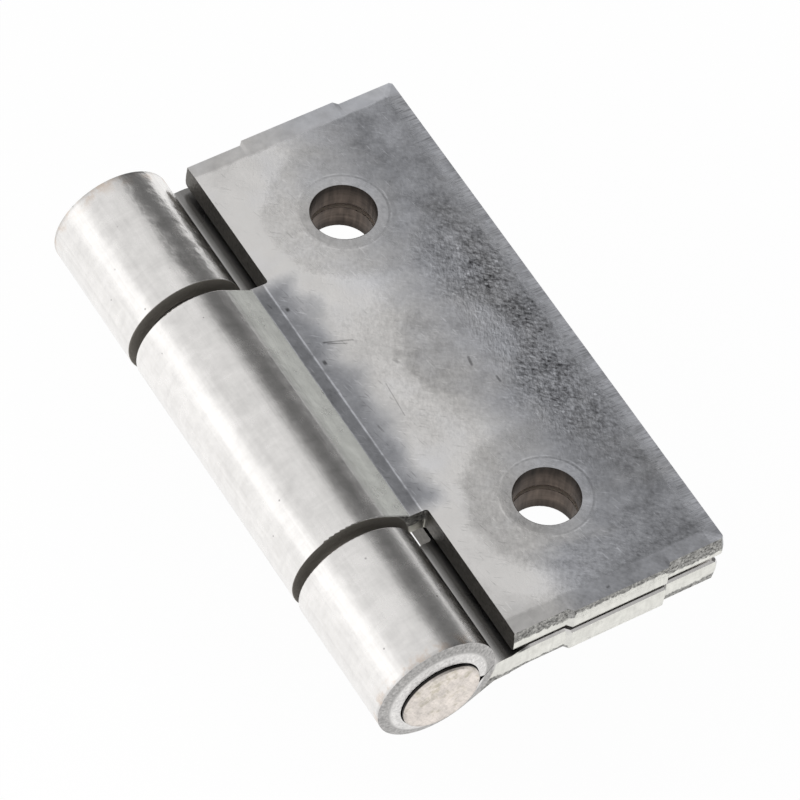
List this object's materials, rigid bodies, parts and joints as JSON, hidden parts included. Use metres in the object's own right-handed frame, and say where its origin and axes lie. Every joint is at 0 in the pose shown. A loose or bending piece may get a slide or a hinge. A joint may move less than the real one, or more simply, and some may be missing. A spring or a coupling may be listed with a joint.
{
  "type": "butt hinge",
  "caption": "Plain bare-steel butt hinge: flat leaves cut and rolled from sheet into interlocking knuckles round a straight pin, with round screw holes, shown closed.",
  "frame": {"origin": "middle of the fixed leaf's hole line, on the outer face that lies against the frame or post", "axes": "+X from the pin towards the free edges of the closed leaves, +Y along the pin, +Z from the fixed leaf towards the moving leaf"},
  "size_m": [0.0366, 0.0622, 0.0121],
  "materials": {
    "leaf_steel": "bare rolled steel, bright on the barrel and satin on the flats, with light scratches",
    "pin_steel": "bare steel rod, ends cut and dull"
  },
  "bodies": {
    "fixed": {"fixed_leaf": "leaf_steel"},
    "moving": {"moving_leaf": "leaf_steel", "hinge_pin": "pin_steel"}
  },
  "joints": [
    {"name": "leaf_swing", "type": "hinge", "parent": "fixed", "child": "moving", "pos_m": [-0.0184, 0, 0.00315], "axis": [0, -1, 0], "range_deg": [0, 315]}
  ]
}
